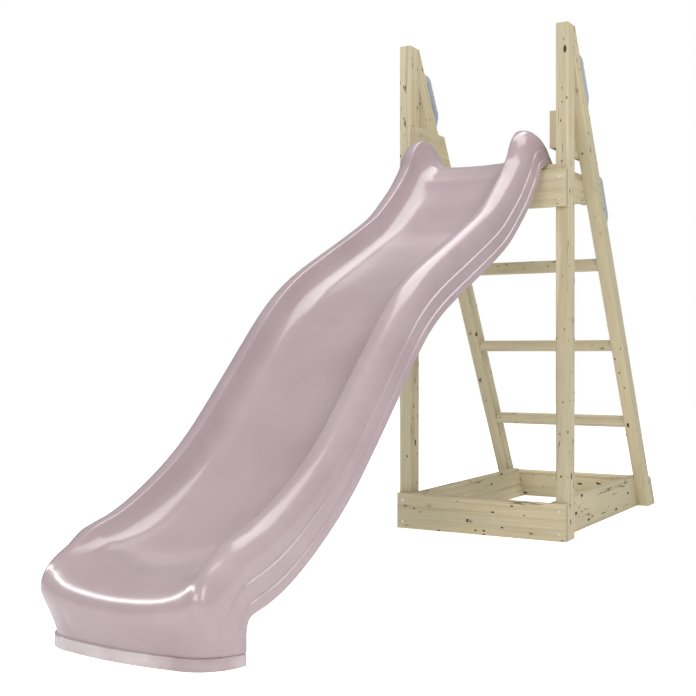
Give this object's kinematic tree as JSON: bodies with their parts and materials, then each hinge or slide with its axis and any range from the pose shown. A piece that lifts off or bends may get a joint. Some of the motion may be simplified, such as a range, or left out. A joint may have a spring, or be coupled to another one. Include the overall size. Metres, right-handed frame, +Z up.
{
  "type": "toddler slide",
  "caption": "Garden slide for small children: a moulded wave chute on a timber ladder tower with a small platform, guard boards and grab handles.",
  "frame": {"origin": "on the ground under the centre of the whole object", "axes": "+Z up, the chute runs out towards -Y, the ladder is at +Y, +X is to the right seen from the run-out"},
  "size_m": [0.604, 2.8466, 1.66],
  "materials": {
    "slide_plastic": "smooth moulded polyethylene with a soft gloss",
    "handle_plastic": "satin moulded plastic with finger ridges",
    "timber": "planed, pressure-treated pine with a faint green tint",
    "dowel_wood": "turned beech",
    "screw_steel": "zinc-plated countersunk screws"
  },
  "bodies": {
    "root": {"base_front_board": "timber", "base_front_screws": "screw_steel", "base_rear_board": "timber", "base_rear_screws": "screw_steel", "base_side_board_left": "timber", "base_side_board_right": "timber", "base_side_screws": "screw_steel", "bearer_screws": "screw_steel", "cross_bearer_screws": "screw_steel", "deck_board_front": "timber", "deck_board_middle": "timber", "deck_board_rear": "timber", "deck_screws": "screw_steel", "front_post_left": "timber", "front_post_right": "timber", "grab_handle_lower_left": "handle_plastic", "grab_handle_lower_right": "handle_plastic", "grab_handle_upper_left": "handle_plastic", "grab_handle_upper_right": "handle_plastic", "guard_board_left": "timber", "guard_board_right": "timber", "guard_board_screws": "screw_steel", "handle_screws": "screw_steel", "ladder_stringer_left": "timber", "ladder_stringer_right": "timber", "platform_bearer_left": "timber", "platform_bearer_right": "timber", "platform_front_board": "timber", "platform_front_screws": "screw_steel", "platform_rear_bearer": "timber", "rung_dowels": "dowel_wood", "rung_lower": "timber", "rung_middle": "timber", "rung_upper": "timber", "slide_chute": "slide_plastic", "slide_lip_screws": "screw_steel", "stringer_screws": "screw_steel"}
  },
  "joints": []
}
